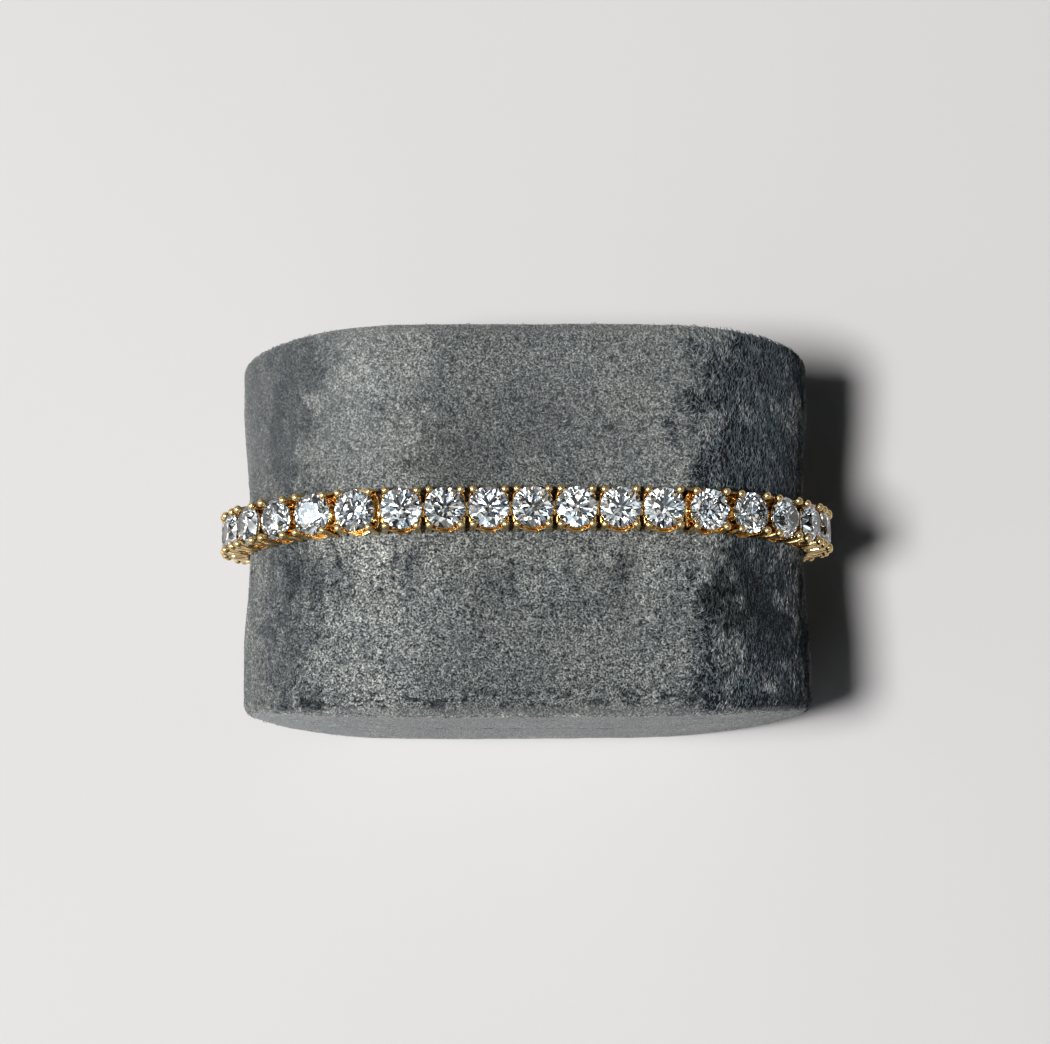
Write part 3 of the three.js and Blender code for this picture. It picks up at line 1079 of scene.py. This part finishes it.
def add_camera(top):
    """Looks down at the row of stones from the front, a little from the left."""
    level = math.cos(CAMERA_ELEVATION)
    ahead = Vector((
        -math.sin(CAMERA_AZIMUTH) * level,
        math.cos(CAMERA_AZIMUTH) * level,
        -math.sin(CAMERA_ELEVATION),
    ))
    right = Vector((math.cos(CAMERA_AZIMUTH), math.sin(CAMERA_AZIMUTH), 0))
    up = right.cross(ahead)
    turned_right = right * math.cos(CAMERA_ROLL) - up * math.sin(CAMERA_ROLL)
    turned_up = right * math.sin(CAMERA_ROLL) + up * math.cos(CAMERA_ROLL)
    aim = Vector((0, CAMERA_AIM_Y, top - CAMERA_AIM_BELOW_TOP))
    place = aim - ahead * CAMERA_DISTANCE + turned_right * CAMERA_SIDESTEP
    turned = Matrix((turned_right, turned_up, -ahead)).transposed().to_4x4()
    camera = bpy.data.objects.new("camera", bpy.data.cameras.new("camera"))
    camera.matrix_world = Matrix.Translation(place) @ turned
    camera.data.sensor_fit = "HORIZONTAL"
    camera.data.sensor_width = SENSOR_MM
    camera.data.lens = CAMERA_FOCAL_PX / IMAGE_WIDTH * SENSOR_MM
    camera.data.clip_start = CAMERA_CLIP_START
    bpy.context.scene.collection.objects.link(camera)
    bpy.context.scene.camera = camera


def add_area_light(name, towards, distance, size, power, color):
    """A round light that stands off in a direction and faces the part."""
    direction = Vector(towards).normalized()
    data = bpy.data.lights.new(name, "AREA")
    data.shape = "DISK"
    data.size = size
    data.energy = power
    data.color = color
    light = bpy.data.objects.new(name, data)
    light.location = direction * distance
    light.rotation_euler = direction.to_track_quat("Z", "Y").to_euler()
    bpy.context.scene.collection.objects.link(light)
    return light


def add_lights():
    """One hard key from the front left, and a wide fill that gold and stones don't mirror."""
    add_area_light("key", **KEY_LIGHT)
    fill = add_area_light("fill", **FILL_LIGHT)
    fill.visible_glossy = False
    fill.visible_transmission = False


def add_world():
    """Panels for gold and stones to mirror. They light no matt surface."""
    world = bpy.data.worlds.new("studio")
    bpy.context.scene.world = world
    world.cycles_visibility.diffuse = False
    made = Nodes(world, "Background")
    heading = made.place["Generated"]
    panels = made.add("ShaderNodeTexVoronoi", Vector=heading, Scale=PANEL_SCALE)
    pick = made.add("ShaderNodeSeparateColor", Color=panels.outputs["Color"]).outputs
    levels = made.ramp(pick["Red"], PANEL_LEVELS, stepped=True)
    tints = made.ramp(pick["Green"], PANEL_TINTS, stepped=True)
    axes = made.axes(heading)
    upward = made.spread(axes["Z"], *UPWARD_STRENGTH)
    leftward = made.spread(axes["X"], *LEFTWARD_STRENGTH)
    zones = made.spread(made.noise("studio_zones", "Generated"), *ZONE_STRENGTH)
    strength = made.math("MULTIPLY", made.math("MULTIPLY", upward, leftward), zones)
    made.set(made.shader, Color=made.times(levels, tints), Strength=strength)


def add_floor(material):
    half = FLOOR_HALF
    corners = np.array([(-half, -half, 0), (half, -half, 0), (half, half, 0), (-half, half, 0)], float)
    floor = place_mesh("floor", (corners, [(0, 1, 2, 3)]), material, smooth=False)


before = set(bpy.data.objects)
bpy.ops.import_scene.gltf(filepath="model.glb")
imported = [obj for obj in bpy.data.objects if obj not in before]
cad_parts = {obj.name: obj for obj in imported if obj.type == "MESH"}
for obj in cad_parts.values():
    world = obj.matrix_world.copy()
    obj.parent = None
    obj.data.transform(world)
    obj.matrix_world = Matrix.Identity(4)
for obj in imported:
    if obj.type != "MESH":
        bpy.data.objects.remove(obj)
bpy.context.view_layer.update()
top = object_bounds()[1].z
stone_names = sorted(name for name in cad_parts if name.startswith("stone_"))
links = {name: stone_frame(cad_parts[name].data) for name in stone_names}

bpy.context.scene.view_settings.view_transform = "Standard"
add_camera(top)
add_lights()
add_world()
add_floor(floor_material())

gold = gold_material()
stone = stone_material()
suede = ground_material("grey_suede")

low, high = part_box(stone_names[0])
diameter = high.y - low.y
spin = np.random.default_rng(SPIN_SEED)
for name, matrix in links.items():
    piece = place_mesh(f"{name}_brilliant", brilliant(diameter), stone, smooth=False)
    piece.matrix_world = matrix @ Matrix.Rotation(spin.uniform(0, math.tau), 4, "Z")
    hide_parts(name)

parts = []
for name, matrix in links.items():
    scaled = Matrix.Translation(matrix.translation / MM) @ matrix.to_3x3().to_4x4()
    to_hinge = scaled @ Matrix.Translation((0, 0, -CULET_HEIGHT))
    link = setting(name == stone_names[0], name == stone_names[-1])
    parts.append(moved(link, to_hinge))
chain = place_mesh("settings", joined(parts), gold, scale=MM)
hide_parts("setting_chain")

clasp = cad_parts["clasp"]
clasp.data.materials.clear()
clasp.data.materials.append(gold)

cushion_low, cushion_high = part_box("display_cushion")
clasp_low, clasp_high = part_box("clasp")
band_bottom = clasp_high.z / MM + HELD_CLEARANCE
band_y = (clasp_low.y + clasp_high.y) / 2 / MM
skin, skin_faces = cushion_skin(cushion_low, cushion_high, band_y, band_bottom)
skin = pressed_in(skin, vertex_normals(skin, skin_faces))
cushion = place_mesh("suede_cushion", (skin, skin_faces), suede, scale=MM)
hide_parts("display_cushion")

chance = np.random.default_rng(NAP_SEED)
for shade_name, shade in NAP_SHADES:
    nap_name = f"suede_nap_{shade_name}"
    nap = nap_fibres(skin, skin_faces, band_y, chance)
    fibres = place_mesh(nap_name, nap, fibre_material(nap_name, shade), scale=MM)
